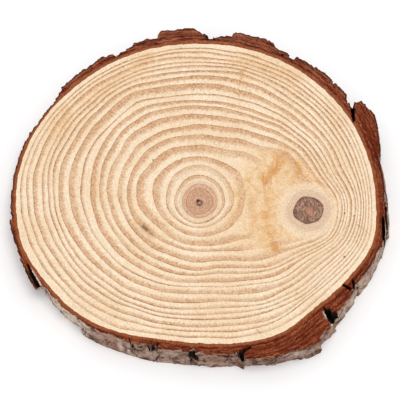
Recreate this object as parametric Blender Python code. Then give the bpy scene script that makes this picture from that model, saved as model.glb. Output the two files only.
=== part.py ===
"""A sawn slice of a young pine trunk: a pale wood disc with its ring of rough, plated bark.

Run with: blender --background --python part.py

Metres, +Z up. The slice lies flat on its lower sawn face, and the origin is under the middle of its box.
Angles are in degrees round the pith, anticlockwise seen from above, with 0 along +X.
"""

import math
from dataclasses import dataclass

import bmesh
import bpy
from mathutils import Matrix, Vector, noise

MM = 0.001

# Driving dimensions
SLICE_THICKNESS = 9.0 * MM
PITH = Vector((-0.41 * MM, -5.18 * MM, 0.0))
LEAN = Vector((0.7 * MM, 0.4 * MM, 0.0))
BARK_GAP = 0.3 * MM

# Radius of the wood from the pith, one value every 15 degrees
WOOD_RADII_MM = (
    48.7, 49.0, 49.7, 50.3, 50.8, 50.9, 50.7, 51.0, 51.0, 50.8, 51.1, 51.1,
    50.5, 49.9, 47.8, 46.4, 44.1, 41.7, 41.5, 42.9, 44.3, 44.1, 46.1, 48.7,
)

# How finely the two bodies are faceted
WOOD_SEGMENTS = 180
BARK_SEGMENTS = 480
BARK_ROWS = 8

# Relief of the bark's outer side, which grows from nothing at the upper sawn face
WANDER_DEGREES = 2.2
WANDER_WAVES = 90.0
SCALE_DEPTH = 0.45 * MM
SCALE_STEPS = 3
SCALE_WAVES_ROUND = 260.0
SCALE_WAVES_UP = 220.0
RELIEF_FADE = 1.5 * MM
THINNEST_BARK = 0.7 * MM

WELD_DISTANCE = 0.01 * MM

WOOD_COLOUR = (0.86, 0.70, 0.49, 1.0)
BARK_COLOUR = (0.23, 0.095, 0.055, 1.0)


@dataclass(frozen=True)
class Plate:
    """A plate of bark: where it ends, its thickness beyond the wood at its two ends, and its flare.

    A plate starts where the one before it ends. The flare is how much thicker it is at the lower sawn face.
    """

    end: float
    first_mm: float
    last_mm: float
    flare_mm: float


# The plates in order, from 16 degrees on
FIRST_PLATE_START = 16.0
PLATES = (
    Plate(29.0, 3.6, 6.8, -0.2),
    Plate(35.2, 6.9, 6.1, -1.5),
    Plate(36.8, 4.6, 3.9, -1.0),
    Plate(39.0, 2.2, 3.5, -0.3),
    Plate(44.6, 3.9, 4.0, 0.2),
    Plate(46.0, 2.9, 2.9, 0.0),
    Plate(52.6, 4.2, 4.2, -0.4),
    Plate(59.2, 3.6, 3.5, 0.3),
    Plate(61.2, 2.3, 2.4, 0.2),
    Plate(66.4, 2.9, 3.1, 0.4),
    Plate(79.8, 4.9, 5.0, -0.6),
    Plate(82.0, 3.7, 3.4, -0.3),
    Plate(84.6, 3.1, 2.7, 0.3),
    Plate(86.4, 2.0, 2.1, 0.1),
    Plate(89.4, 3.4, 3.7, 0.2),
    Plate(102.2, 5.6, 5.4, -0.7),
    Plate(105.0, 3.4, 3.2, 0.2),
    Plate(110.4, 3.5, 3.4, 0.3),
    Plate(113.2, 2.9, 2.3, 0.5),
    Plate(117.2, 2.1, 1.8, 0.4),
    Plate(120.2, 2.7, 2.8, 0.2),
    Plate(137.2, 3.0, 2.7, 0.3),
    Plate(141.4, 2.3, 1.2, 0.3),
    Plate(152.0, 0.9, 0.9, 0.5),
    Plate(180.0, 1.1, 1.45, 0.4),
    Plate(185.4, 1.5, 1.35, 0.4),
    Plate(189.6, 2.2, 1.9, -0.3),
    Plate(194.0, 1.8, 1.5, -0.1),
    Plate(203.0, 1.5, 2.4, 0.0),
    Plate(210.6, 2.5, 3.7, -1.2),
    Plate(226.0, 1.2, 1.0, 0.4),
    Plate(240.0, 1.2, 1.4, 1.2),
    Plate(247.0, 1.6, 2.0, 1.1),
    Plate(253.2, 2.2, 2.5, 1.3),
    Plate(255.0, 1.5, 1.6, 1.3),
    Plate(266.4, 2.6, 2.5, 1.15),
    Plate(268.6, 1.9, 2.0, 1.5),
    Plate(283.2, 2.9, 2.6, 0.8),
    Plate(285.2, 2.2, 3.4, 1.4),
    Plate(300.0, 4.7, 6.2, -0.5),
    Plate(308.6, 6.4, 8.2, -0.3),
    Plate(314.8, 7.0, 6.7, -0.1),
    Plate(317.6, 5.2, 4.6, 0.5),
    Plate(327.4, 4.9, 3.7, 0.2),
    Plate(331.2, 3.0, 2.8, 0.3),
    Plate(345.0, 2.8, 2.1, 0.5),
    Plate(352.0, 2.1, 2.1, 0.6),
    Plate(376.0, 2.4, 2.8, 1.0),
)


@dataclass(frozen=True)
class Crack:
    """A crack down from the upper sawn face: its mouth and its root, each an angle and a radius in mm."""

    mouth: tuple
    root: tuple
    width_mm: float
    depth_mm: float


CRACKS = (
    Crack((38.2, 55.0), (30.5, 50.5), 1.4, 9.5),
    Crack((85.5, 54.5), (85.2, 52.0), 0.9, 9.5),
    Crack((117.4, 54.6), (117.0, 52.5), 0.7, 9.5),
    Crack((213.4, 50.9), (201.4, 50.4), 1.1, 9.5),
    Crack((246.8, 47.0), (245.9, 44.3), 0.8, 4.0),
    Crack((252.6, 46.5), (254.6, 43.2), 0.9, 5.0),
    Crack((267.3, 46.6), (267.6, 43.3), 1.5, 7.0),
    Crack((283.2, 48.6), (284.6, 44.9), 1.6, 5.0),
    Crack((314.9, 52.8), (317.3, 46.1), 1.9, 6.5),
    Crack((330.8, 51.5), (327.6, 47.0), 1.0, 5.5),
    Crack((348.0, 52.6), (355.5, 50.3), 0.6, 9.5),
)
CRACK_ROOT_SHARE = 0.25


def closed_spline(stations, angle):
    """Smooth closed curve through evenly spaced stations (a Catmull-Rom spline), read at an angle."""
    place = (angle % 360.0) / 360.0 * len(stations)
    index = int(place)
    t = place - index
    a, b, c, d = (stations[(index + k) % len(stations)] for k in (-1, 0, 1, 2))
    return b + 0.5 * t * (c - a + t * (2 * a - 5 * b + 4 * c - d + t * (3 * (b - c) + d - a)))


def wood_radius(angle):
    """Distance from the pith to the outside of the wood."""
    return closed_spline(WOOD_RADII_MM, angle) * MM


def plate_thickness(angle, share):
    """Thickness of the bark at an angle and a share of the way down from the upper sawn face."""
    angle = (angle - FIRST_PLATE_START) % 360.0 + FIRST_PLATE_START
    start = FIRST_PLATE_START
    for plate in PLATES:
        if angle <= plate.end:
            along = (angle - start) / (plate.end - start)
            return (plate.first_mm + along * (plate.last_mm - plate.first_mm) + share * plate.flare_mm) * MM
        start = plate.end
    return PLATES[-1].last_mm * MM


def relief_noise(angle, height, waves_round, waves_up):
    """Smooth noise that closes round the slice, with waves a metre round it and up it."""
    radians = math.radians(angle)
    reach = WOOD_RADII_MM[0] * MM * waves_round
    return noise.noise((math.cos(radians) * reach, math.sin(radians) * reach, height * waves_up))


def bark_radius(angle, height):
    """Outer radius of the bark: its plates wander, flare and flake in steps below the upper face."""
    depth = SLICE_THICKNESS - height
    share = depth / SLICE_THICKNESS
    wander = WANDER_DEGREES * share * relief_noise(angle, 0.0, WANDER_WAVES, 0.0)
    thickness = plate_thickness(angle + wander, share)
    flaking = 0.5 + 0.5 * relief_noise(angle, height, SCALE_WAVES_ROUND, SCALE_WAVES_UP)
    stepped = math.floor(flaking * SCALE_STEPS) / SCALE_STEPS - 0.5
    thickness += min(1.0, depth / RELIEF_FADE) * SCALE_DEPTH * stepped
    return wood_radius(angle) + max(thickness, THINNEST_BARK)


def leaning(point):
    """Moves a point of a straight trunk to where the leaning trunk has it, with the upper face in place."""
    return point + PITH + LEAN * (1.0 - point.z / SLICE_THICKNESS)


def on_ray(angle, radius, height):
    """The point at an angle, a radius and a height of the leaning trunk."""
    radians = math.radians(angle)
    return leaning(Vector((radius * math.cos(radians), radius * math.sin(radians), height)))


def material(name, colour, roughness):
    """A plain Principled BSDF."""
    made = bpy.data.materials.new(name)
    made.use_nodes = True
    shader = made.node_tree.nodes["Principled BSDF"]
    shader.inputs["Base Color"].default_value = colour
    shader.inputs["Roughness"].default_value = roughness
    shader.inputs["Metallic"].default_value = 0.0
    return made


def wood_disc(collection):
    """The wood: its outline as a filled flat curve, as thick as the slice, then leaned with the trunk."""
    curve = bpy.data.curves.new("wood_outline", "CURVE")
    curve.dimensions = "2D"
    curve.fill_mode = "BOTH"
    curve.extrude = SLICE_THICKNESS / 2
    spline = curve.splines.new("POLY")
    spline.points.add(WOOD_SEGMENTS - 1)
    spline.use_cyclic_u = True
    for index, point in enumerate(spline.points):
        angle = 360.0 * index / WOOD_SEGMENTS
        radius = wood_radius(angle)
        radians = math.radians(angle)
        point.co = (radius * math.cos(radians), radius * math.sin(radians), 0.0, 1.0)
    guide = bpy.data.objects.new("wood_outline", curve)
    collection.objects.link(guide)
    bpy.context.view_layer.update()
    mesh = bpy.data.meshes.new_from_object(guide.evaluated_get(bpy.context.evaluated_depsgraph_get()))
    bpy.data.objects.remove(guide)

    shell = bmesh.new()
    shell.from_mesh(mesh)
    bmesh.ops.remove_doubles(shell, verts=shell.verts, dist=WELD_DISTANCE)
    for vertex in shell.verts:
        vertex.co = leaning(vertex.co + Vector((0.0, 0.0, SLICE_THICKNESS / 2)))
    bmesh.ops.recalc_face_normals(shell, faces=shell.faces)
    shell.to_mesh(mesh)
    shell.free()

    mesh.name = "wood"
    mesh.materials.append(material("wood", WOOD_COLOUR, 0.6))
    wood = bpy.data.objects.new("wood", mesh)
    collection.objects.link(wood)
    return wood


def bark_section(angle):
    """Closed cross-section of the bark at an angle: up the inner wall, then down the rough outer side."""
    inner = wood_radius(angle) + BARK_GAP
    points = [on_ray(angle, inner, 0.0), on_ray(angle, inner, SLICE_THICKNESS)]
    for row in range(BARK_ROWS):
        height = SLICE_THICKNESS * (1.0 - row / (BARK_ROWS - 1))
        points.append(on_ray(angle, bark_radius(angle, height), height))
    return points


def bark_ring(collection):
    """The bark: a closed loft through its cross-sections, once round the slice."""
    points = []
    for ring in range(BARK_SEGMENTS):
        points += bark_section(360.0 * ring / BARK_SEGMENTS)
    sides = len(points) // BARK_SEGMENTS
    faces = []
    for ring in range(BARK_SEGMENTS):
        here = ring * sides
        there = (ring + 1) % BARK_SEGMENTS * sides
        for side in range(sides):
            beside = (side + 1) % sides
            faces.append((here + side, here + beside, there + beside, there + side))
    mesh = bpy.data.meshes.new("bark")
    mesh.from_pydata(points, [], faces)
    shell = bmesh.new()
    shell.from_mesh(mesh)
    bmesh.ops.recalc_face_normals(shell, faces=shell.faces)
    shell.to_mesh(mesh)
    shell.free()

    mesh.materials.append(material("bark", BARK_COLOUR, 0.9))
    bark = bpy.data.objects.new("bark", mesh)
    collection.objects.link(bark)
    return bark


def crack_cutter(crack, index, collection):
    """A wedge for one crack: a cube with its root end pinched, sunk into the bark from above."""
    mouth = on_ray(crack.mouth[0], crack.mouth[1] * MM, SLICE_THICKNESS)
    root = on_ray(crack.root[0], crack.root[1] * MM, SLICE_THICKNESS)
    run = mouth - root
    bpy.ops.mesh.primitive_cube_add(size=1.0)
    cutter = bpy.context.object
    cutter.name = f"crack_{index:02d}"
    for vertex in cutter.data.vertices:
        at_mouth = vertex.co.x > 0
        width = crack.width_mm * MM * (1.0 if at_mouth else CRACK_ROOT_SHARE)
        height = SLICE_THICKNESS if vertex.co.z > 0 else -crack.depth_mm * MM
        vertex.co = (run.length if at_mouth else 0.0, vertex.co.y * width, height)
    turn = Matrix.Rotation(math.atan2(run.y, run.x), 4, "Z")
    cutter.data.transform(Matrix.Translation(root) @ turn)
    for owner in list(cutter.users_collection):
        owner.objects.unlink(cutter)
    collection.objects.link(cutter)
    cutter.hide_render = True
    cutter.display_type = "WIRE"
    return cutter


def main():
    """Clears the scene and builds the slice."""
    for thing in list(bpy.data.objects):
        bpy.data.objects.remove(thing)
    parts = bpy.data.collections.new("wood_slice")
    cutters = bpy.data.collections.new("cutters")
    for group in (parts, cutters):
        bpy.context.scene.collection.children.link(group)

    wood_disc(parts)
    bark = bark_ring(parts)
    for index, crack in enumerate(CRACKS):
        crack_cutter(crack, index, cutters)
    cut = bark.modifiers.new("cracks", "BOOLEAN")
    cut.operation = "DIFFERENCE"
    cut.operand_type = "COLLECTION"
    cut.collection = cutters
    cut.solver = "EXACT"


main()
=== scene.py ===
"""Looks of a sawn slice of a young pine trunk: the ringed wood disc with its knot, and its rough plated bark.

Metres, +Z up, in the frame of the CAD part. Sizes in mm carry _mm in their names. Angles are in degrees round
the pith, anticlockwise seen from above, with 0 along +X.
"""

from __future__ import annotations

import itertools
import logging
import math
from dataclasses import astuple, dataclass
from enum import Enum

import bpy
import numpy as np
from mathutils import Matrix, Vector


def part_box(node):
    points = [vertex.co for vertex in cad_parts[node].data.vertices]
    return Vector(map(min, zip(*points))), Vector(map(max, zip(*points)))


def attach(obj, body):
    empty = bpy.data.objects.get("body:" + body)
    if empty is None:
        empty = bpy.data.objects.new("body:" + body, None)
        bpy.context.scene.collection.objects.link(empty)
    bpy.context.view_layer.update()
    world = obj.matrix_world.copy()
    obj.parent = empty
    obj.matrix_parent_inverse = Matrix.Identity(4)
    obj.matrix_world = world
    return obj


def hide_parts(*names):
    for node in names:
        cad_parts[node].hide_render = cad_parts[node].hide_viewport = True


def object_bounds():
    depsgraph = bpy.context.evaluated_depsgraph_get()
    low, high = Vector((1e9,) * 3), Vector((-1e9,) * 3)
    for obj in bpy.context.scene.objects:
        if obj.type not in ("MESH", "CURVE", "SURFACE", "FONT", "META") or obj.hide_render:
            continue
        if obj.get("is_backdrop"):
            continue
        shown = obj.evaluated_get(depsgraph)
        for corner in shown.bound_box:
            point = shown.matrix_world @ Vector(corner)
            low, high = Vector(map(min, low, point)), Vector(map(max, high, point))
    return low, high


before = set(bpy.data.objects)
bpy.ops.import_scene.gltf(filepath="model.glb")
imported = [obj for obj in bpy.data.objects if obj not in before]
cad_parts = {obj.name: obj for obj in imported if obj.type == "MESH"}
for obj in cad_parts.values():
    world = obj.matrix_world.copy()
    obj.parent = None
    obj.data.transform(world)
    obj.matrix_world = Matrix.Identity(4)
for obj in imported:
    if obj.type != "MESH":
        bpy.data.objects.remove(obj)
CAD_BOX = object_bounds()

LOG = logging.getLogger("wood_slice")
MM = 0.001
ROLL_MM = 50.0
HARD_EDGE_DEGREES = 38.0
Array = np.ndarray
Polar = tuple[float, float]
Colour = tuple[float, float, float]
Socket = bpy.types.NodeSocket


# Numbers on grids


def several(kind: type, rows: tuple[tuple, ...], *first: object) -> tuple:
    """Makes one thing of a kind from each row of values, after the first values that all of them share."""
    return tuple(kind(*first, *row) for row in rows)


def around(angles: Array, radii: Array) -> tuple[Array, Array]:
    """Turns angles and radii round the pith into x and y."""
    return radii * np.cos(np.radians(angles)), radii * np.sin(np.radians(angles))


def stacked(*axes: Array) -> Array:
    """Broadcasts x, y and z to one shape and joins them on a new last axis."""
    return np.stack(np.broadcast_arrays(*axes), axis=-1)


def rolled(angles: Array, depth: Array = 0.0) -> Array:
    """Places on a roll as wide as the slice, with depth along its axis, for noise that closes round it."""
    return stacked(*around(angles, ROLL_MM), depth)


def closed_spline(stations: Array, angles: Array) -> Array:
    """Reads smooth closed curves given at evenly spaced angles.

    Between stations b and c at share t, with a before b and d after c, the value is
    b + t/2 (c - a + t (2a - 5b + 4c - d + t (3 (b - c) + d - a))), a Catmull-Rom spline.

    Args:
        stations: one value a station on the last axis, with any number of curves before it.
        angles: degrees to read at.

    Returns:
        The curves read at the angles, on the last axis.
    """
    count = stations.shape[-1]
    place = np.mod(angles, 360.0) / 360.0 * count
    index = np.floor(place).astype(int)
    t = place - index
    a, b, c, d = (stations[..., (index + k) % count] for k in (-1, 0, 1, 2))
    return b + 0.5 * t * (c - a + t * (2 * a - 5 * b + 4 * c - d + t * (3 * (b - c) + d - a)))


def random_at(cells: Array, seed: int) -> Array:
    """Gives each whole-number point a fixed random number: its three counts mixed by large odd factors.

    Args:
        cells: whole numbers, three on the last axis.
        seed: chooses the set of numbers.

    Returns:
        Numbers from 0 to 1, without the last axis.
    """
    mixed = (cells @ np.array([374761393, 668265263, 1440662683]) + seed * 1274126177) & 0xFFFFFFFF
    mixed = ((mixed ^ (mixed >> 13)) * 1274126177) & 0xFFFFFFFF
    return ((mixed ^ (mixed >> 16)) & 0xFFFFFF) / 0xFFFFFF


def lattice_noise(points: Array, seed: int) -> Array:
    """Smooth noise: random numbers at whole-number points, blended along each axis by 3t^2 - 2t^3.

    Args:
        points: places in cells, three numbers on the last axis.
        seed: chooses the noise.

    Returns:
        Numbers from -1 to 1, without the last axis.
    """
    base = np.floor(points).astype(np.int64)
    t = points - base
    blend = t * t * (3.0 - 2.0 * t)
    total = np.zeros(points.shape[:-1])
    for corner in itertools.product((0, 1), repeat=3):
        weight = np.prod(np.where(np.array(corner), blend, 1.0 - blend), axis=-1)
        total += weight * random_at(base + np.array(corner), seed)
    return 2.0 * total - 1.0


def scales(points: Array, seed: int) -> tuple[Array, Array]:
    """Splits space into irregular scales: a point belongs to the nearest of the seeds strewn one to a cell.

    Args:
        points: places in cells, three numbers on the last axis.
        seed: chooses the scales.

    Returns:
        How much further the second seed is than the nearest, 0 on a border, and each scale's tone, 0 to 1.
    """
    base = np.floor(points).astype(np.int64)
    first = np.full(points.shape[:-1], np.inf)
    second = first.copy()
    tone = np.zeros_like(first)
    for offset in itertools.product((-1, 0, 1), repeat=3):
        cell = base + np.array(offset)
        centre = cell + np.stack([random_at(cell, seed + k) for k in (1, 2, 3)], axis=-1)
        distance = np.linalg.norm(points - centre, axis=-1)
        nearer = distance < first
        second = np.where(nearer, first, np.minimum(second, distance))
        tone = np.where(nearer, random_at(cell, seed + 4), tone)
        first = np.where(nearer, distance, first)
    return second - first, tone


def smooth_step(low: float, high: float, value: Array) -> Array:
    """Rises from 0 at low to 1 at high along 3t^2 - 2t^3."""
    t = np.clip((value - low) / (high - low), 0.0, 1.0)
    return t * t * (3.0 - 2.0 * t)


def grid_mesh(name: str, points: Array, closed_section: bool) -> bpy.types.Mesh:
    """Makes a mesh from rows of points, each row closed round the slice.

    Each quad joins two rows and two columns. Rows run outwards over the top and then down, so the quads
    face outwards.

    Args:
        name: name of the mesh.
        points: rows by columns by three, in metres.
        closed_section: True joins the last row to the first, False closes each end with a middle point.

    Returns:
        The mesh, shaded smooth with its hard edges marked.
    """
    rows, columns = points.shape[:2]
    count = np.arange(rows * columns).reshape(rows, columns)
    here = count if closed_section else count[:-1]
    below = np.roll(count, -1, axis=0) if closed_section else count[1:]
    quads = np.stack([here, below, np.roll(below, -1, axis=1), np.roll(here, -1, axis=1)], axis=-1)
    corners = points.reshape(-1, 3)
    faces = quads.reshape(-1, 4).tolist()
    if not closed_section:
        top, bottom = rows * columns, rows * columns + 1
        corners = np.concatenate([corners, points[[0, -1]].mean(axis=1)])
        first, last = count[0], count[-1]
        faces += np.stack([np.full(columns, top), first, np.roll(first, -1)], axis=-1).tolist()
        faces += np.stack([last, np.full(columns, bottom), np.roll(last, -1)], axis=-1).tolist()
    mesh = bpy.data.meshes.new(name)
    mesh.from_pydata(corners.tolist(), [], faces)
    mesh.shade_smooth()
    mesh.set_sharp_from_angle(angle=math.radians(HARD_EDGE_DEGREES))
    return mesh


def give(mesh: bpy.types.Mesh, name: str, values: Array) -> None:
    """Stores a number, or three, for each point of a mesh; the points at the middle take their row's mean.

    Args:
        mesh: the mesh of a grid.
        name: name of the attribute.
        values: rows by columns, or rows by columns by three.
    """
    vector = values.ndim == 3
    numbers = values.reshape(-1, 3) if vector else values.reshape(-1)
    missing = len(mesh.vertices) - len(numbers)
    numbers = np.concatenate([numbers, values[[0, -1]].mean(axis=1)[:missing]])
    kind, field = ("FLOAT_VECTOR", "vector") if vector else ("FLOAT", "value")
    mesh.attributes.new(name, kind, "POINT").data.foreach_set(field, numbers.astype(np.float32).ravel())


def put(name: str, data: bpy.types.ID) -> bpy.types.Object:
    """Puts an object in the scene.

    Args:
        name: its name.
        data: its mesh, camera or lamp.

    Returns:
        The object.
    """
    made = bpy.data.objects.new(name, data)
    bpy.context.scene.collection.objects.link(made)
    return made


def make_piece(name: str, mesh: bpy.types.Mesh, node: str) -> bpy.types.Object:
    """Puts a mesh in the scene as the piece that stands for a CAD node, riding on the root body.

    Args:
        name: name of the piece.
        mesh: its mesh.
        node: the CAD node that it replaces.

    Returns:
        The piece.
    """
    piece = put(name, mesh)
    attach(piece, "root")
    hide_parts(node)
    LOG.info("%s: %d points, %d faces", name, len(mesh.vertices), len(mesh.polygons))
    return piece


# The trunk and what is painted on it


@dataclass(frozen=True)
class Trunk:
    """Where the trunk stands and how wide its wood is, with one radius every 15 degrees."""

    thickness_mm: float = 9.0
    pith_mm: tuple[float, float] = (-0.41, -5.18)
    lean_mm: tuple[float, float] = (0.7, 0.4)
    wood_mm: tuple[float, ...] = (
        48.7, 49.0, 49.7, 50.3, 50.8, 50.9, 50.7, 51.0, 51.0, 50.8, 51.1, 51.1,
        50.5, 49.9, 47.8, 46.4, 44.1, 41.7, 41.5, 42.9, 44.3, 44.1, 46.1, 48.7,
    )
    fray_mm: float = 0.12
    seam_mm: float = 0.14

    def wood_radius(self, angles: Array) -> Array:
        """Outside of the wood in mm: its spline plus a fine fray that the bark follows."""
        fray = lattice_noise(rolled(angles) * 1.1, 3) + 0.6 * lattice_noise(rolled(angles) * 0.35, 4)
        return closed_spline(np.array(self.wood_mm), angles) + self.fray_mm * fray

    def place(self, angles: Array, radii: Array, heights: Array) -> Array:
        """Points of the leaning trunk: polar round the pith, which drifts by the lean from top to bottom.

        Args:
            angles: degrees.
            radii: mm from the pith.
            heights: mm above the lower sawn face.

        Returns:
            Points in metres, three numbers on the last axis.
        """
        x, y = around(angles, radii)
        sunk = 1.0 - heights / self.thickness_mm
        x = x + self.pith_mm[0] + self.lean_mm[0] * sunk
        y = y + self.pith_mm[1] + self.lean_mm[1] * sunk
        return stacked(x, y, heights) * MM


class Tint(Enum):
    """What a stroke or a mark leaves, and the name of its attribute."""

    ORANGE = "orange"
    CALM = "calm"
    SCAR = "scar"
    # Cream on the skin; on the cut face, painted highlights along the edges of cracks.
    PALE = "pale"
    # Painted shade in cracks and gaps.
    DARK = "dark"


@dataclass(frozen=True)
class Stroke:
    """A soft stroke on a sawn face, from one angle and radius to another."""

    tint: Tint
    start: Polar
    end: Polar
    width_mm: float
    strength: float = 1.0

    def cover(self, x: Array, y: Array) -> Array:
        """How strongly the stroke covers points: strength times 2^-(d / half the width)^2, d from its line.

        Args:
            x: mm from the pith along X.
            y: mm from the pith along Y.

        Returns:
            Numbers from 0 to the strength.
        """
        start, end = np.array(around(*self.start)), np.array(around(*self.end))
        run = end - start
        along = np.clip(((x - start[0]) * run[0] + (y - start[1]) * run[1]) / (run @ run), 0.0, 1.0)
        distance = np.hypot(x - start[0] - along * run[0], y - start[1] - along * run[1])
        return self.strength * 2.0 ** -((2.0 * distance / self.width_mm) ** 2)


@dataclass(frozen=True)
class SideMark:
    """A soft oval mark on the outer side, at an angle and a height, rising by its slant for each mm along."""

    tint: Tint
    angle: float
    height_mm: float
    width_mm: float
    tall_mm: float
    strength: float = 1.0
    slant: float = 0.0
    radius_mm: float = 48.0

    def cover(self, angles: Array, heights: Array) -> Array:
        """How strongly the mark covers points: strength times 2^-(the offset over the half sizes, squared).

        Args:
            angles: degrees.
            heights: mm above the lower sawn face.

        Returns:
            Numbers from 0 to the strength.
        """
        across = np.radians((angles - self.angle + 180.0) % 360.0 - 180.0) * self.radius_mm
        above = heights - self.height_mm - self.slant * across
        offset = (2.0 * across / self.width_mm) ** 2 + (2.0 * above / self.tall_mm) ** 2
        return self.strength * 2.0 ** -offset


def painted(marks: tuple[Stroke | SideMark, ...], tint: Tint, *place: Array) -> Array:
    """The strongest cover of one tint's strokes or side marks at each point."""
    return np.max([mark.cover(*place) for mark in marks if mark.tint is tint], axis=0)


# Shader graphs


STUDIO_BRIGHTNESS = 1.2


def srgb(red: int, green: int, blue: int) -> Colour:
    """Turns a colour as it shows under the studio light into the linear colour of the surface.

    Args:
        red: from 0 to 255, like the next two.
        green: green.
        blue: blue.

    Returns:
        The colour, from 0 to 1.
    """
    shares = (red / 255, green / 255, blue / 255)
    linear = [c / 12.92 if c <= 0.04045 else ((c + 0.055) / 1.055) ** 2.4 for c in shares]
    return tuple(c / STUDIO_BRIGHTNESS for c in linear)


class Graph:
    """Short ways to add and join the nodes of one node tree."""

    def __init__(self, tree: bpy.types.NodeTree) -> None:
        """Takes the tree to add to."""
        self.tree = tree

    def feed(self, socket: Socket, value: object) -> None:
        """Links an output to an input, or sets the input; a colour of three numbers gets its alpha.

        Args:
            socket: the input.
            value: an output, a number, a vector or a colour.
        """
        if isinstance(value, Socket):
            self.tree.links.new(value, socket)
        elif socket.type == "RGBA":
            socket.default_value = (*value[:3], 1.0)
        else:
            socket.default_value = value

    def add(self, kind: str, inputs: dict, **settings: object) -> bpy.types.Node:
        """Adds a node.

        Args:
            kind: Blender's name of the node type, without ShaderNode.
            inputs: values or outputs for its inputs, by name or number.
            settings: its properties.

        Returns:
            The node.
        """
        node = self.tree.nodes.new("ShaderNode" + kind)
        for name, value in settings.items():
            setattr(node, name, value)
        for name, value in inputs.items():
            self.feed(node.inputs[name], value)
        return node

    def math(self, operation: str, *values: object, clamp: bool = False) -> Socket:
        """One step of arithmetic, or a chain of them for more than two values.

        Args:
            operation: Blender's name of the step.
            values: numbers or outputs.
            clamp: True limits the last result to 0 to 1.

        Returns:
            The result.
        """
        if len(values) > 2:
            values = (self.math(operation, *values[:-1]), values[-1])
        return self.add("Math", dict(enumerate(values)), operation=operation, use_clamp=clamp).outputs[0]

    def plus(self, *values: object) -> Socket:
        """Adds numbers."""
        return self.math("ADD", *values)

    def minus(self, first: object, second: object) -> Socket:
        """Takes the second number from the first."""
        return self.math("SUBTRACT", first, second)

    def times(self, *values: object) -> Socket:
        """Multiplies numbers."""
        return self.math("MULTIPLY", *values)

    def share(self, *values: object) -> Socket:
        """Multiplies numbers and limits the product to 0 to 1."""
        return self.math("MULTIPLY", *values, clamp=True)

    def vector(self, operation: str, *values: object) -> Socket:
        """One step of vector arithmetic; length, distance and dot product give a number."""
        node = self.add("VectorMath", dict(enumerate(values)), operation=operation)
        return node.outputs["Value" if operation in ("LENGTH", "DISTANCE", "DOT_PRODUCT") else "Vector"]

    def stretch(self, vector: Socket, factors: Colour) -> Socket:
        """Multiplies a vector by a factor for each axis."""
        return self.vector("MULTIPLY", vector, factors)

    def axis(self, vector: Socket, name: str) -> Socket:
        """One of the three numbers of a vector."""
        return self.add("SeparateXYZ", {0: vector}).outputs[name]

    def from_axes(self, **numbers: Socket) -> Socket:
        """A vector from its numbers X, Y and Z, which are 0 where they are left out."""
        return self.add("CombineXYZ", numbers).outputs[0]

    def step(self, value: Socket, low: float, high: float, start: float = 0.0, end: float = 1.0) -> Socket:
        """Goes smoothly from start at low to end at high."""
        inputs = {"Value": value, "From Min": low, "From Max": high, "To Min": start, "To Max": end}
        return self.add("MapRange", inputs, interpolation_type="SMOOTHSTEP").outputs[0]

    def noise(self, vector: Socket, scale: float | Colour, detail: float = 2.0, rough: float = 0.5) -> Socket:
        """Blender's noise as one number round 0.5.

        Args:
            vector: the place.
            scale: one scale, or one for each axis.
            detail: how many finer layers it has.
            rough: how strong they are.

        Returns:
            The noise.
        """
        if isinstance(scale, tuple):
            vector, scale = self.stretch(vector, scale), 1.0
        inputs = {"Vector": vector, "Scale": scale, "Detail": detail, "Roughness": rough}
        return self.add("TexNoise", inputs).outputs[0]

    def sway(self, *noise: object) -> Socket:
        """Blender's noise as one number round 0."""
        return self.minus(self.noise(*noise), 0.5)

    def bend(self, vector: Socket, scale: float, reach: Colour) -> Socket:
        """Shifts a vector by coloured noise of a scale, as far as the reach along each axis."""
        colour = self.add("TexNoise", {"Vector": vector, "Scale": scale}).outputs["Color"]
        return self.vector("ADD", vector, self.stretch(colour, reach))

    def mix(self, share: Socket, first: object, second: object) -> Socket:
        """Mixes two colours."""
        return self.add("Mix", {0: share, 6: first, 7: second}, data_type="RGBA").outputs[2]

    def over(self, colour: object, *layers: tuple[Socket, object]) -> Socket:
        """Lays colours over a colour, the lowest first.

        Args:
            colour: what lies under them.
            layers: each a share and a colour.

        Returns:
            The colour.
        """
        for share, layer in layers:
            colour = self.mix(share, colour, layer)
        return colour

    def scale(self, colour: Socket, factor: Socket) -> Socket:
        """Multiplies a colour by one number."""
        return self.add("VectorMath", {0: colour, "Scale": factor}, operation="SCALE").outputs["Vector"]

    def attribute(self, name: str, output: str = "Fac") -> Socket:
        """Reads a mesh attribute."""
        return self.add("Attribute", {}, attribute_name=name).outputs[output]

    def place_mm(self) -> Socket:
        """Object coordinates in mm."""
        return self.stretch(self.add("TexCoord", {}).outputs["Object"], (1000.0, 1000.0, 1000.0))

    def pick(self, number: Socket, rows: list[Colour]) -> tuple[Socket, ...]:
        """Picks one of a list of rows of three by a whole number, with a stepped colour ramp.

        Args:
            number: whole number, 0 for the first row.
            rows: three numbers from 0 to 1 each, at most 32 rows.

        Returns:
            The three numbers of the row.
        """
        node = self.add("ValToRGB", {0: self.math("DIVIDE", self.plus(number, 0.5), len(rows))})
        node.color_ramp.interpolation = "CONSTANT"
        elements = node.color_ramp.elements
        elements.remove(elements[1])
        for index, row in enumerate(rows):
            element = elements.new(index / len(rows)) if index else elements[0]
            element.color = (*row, 1.0)
        return tuple(self.add("SeparateColor", {0: node.outputs[0]}).outputs)


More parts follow.
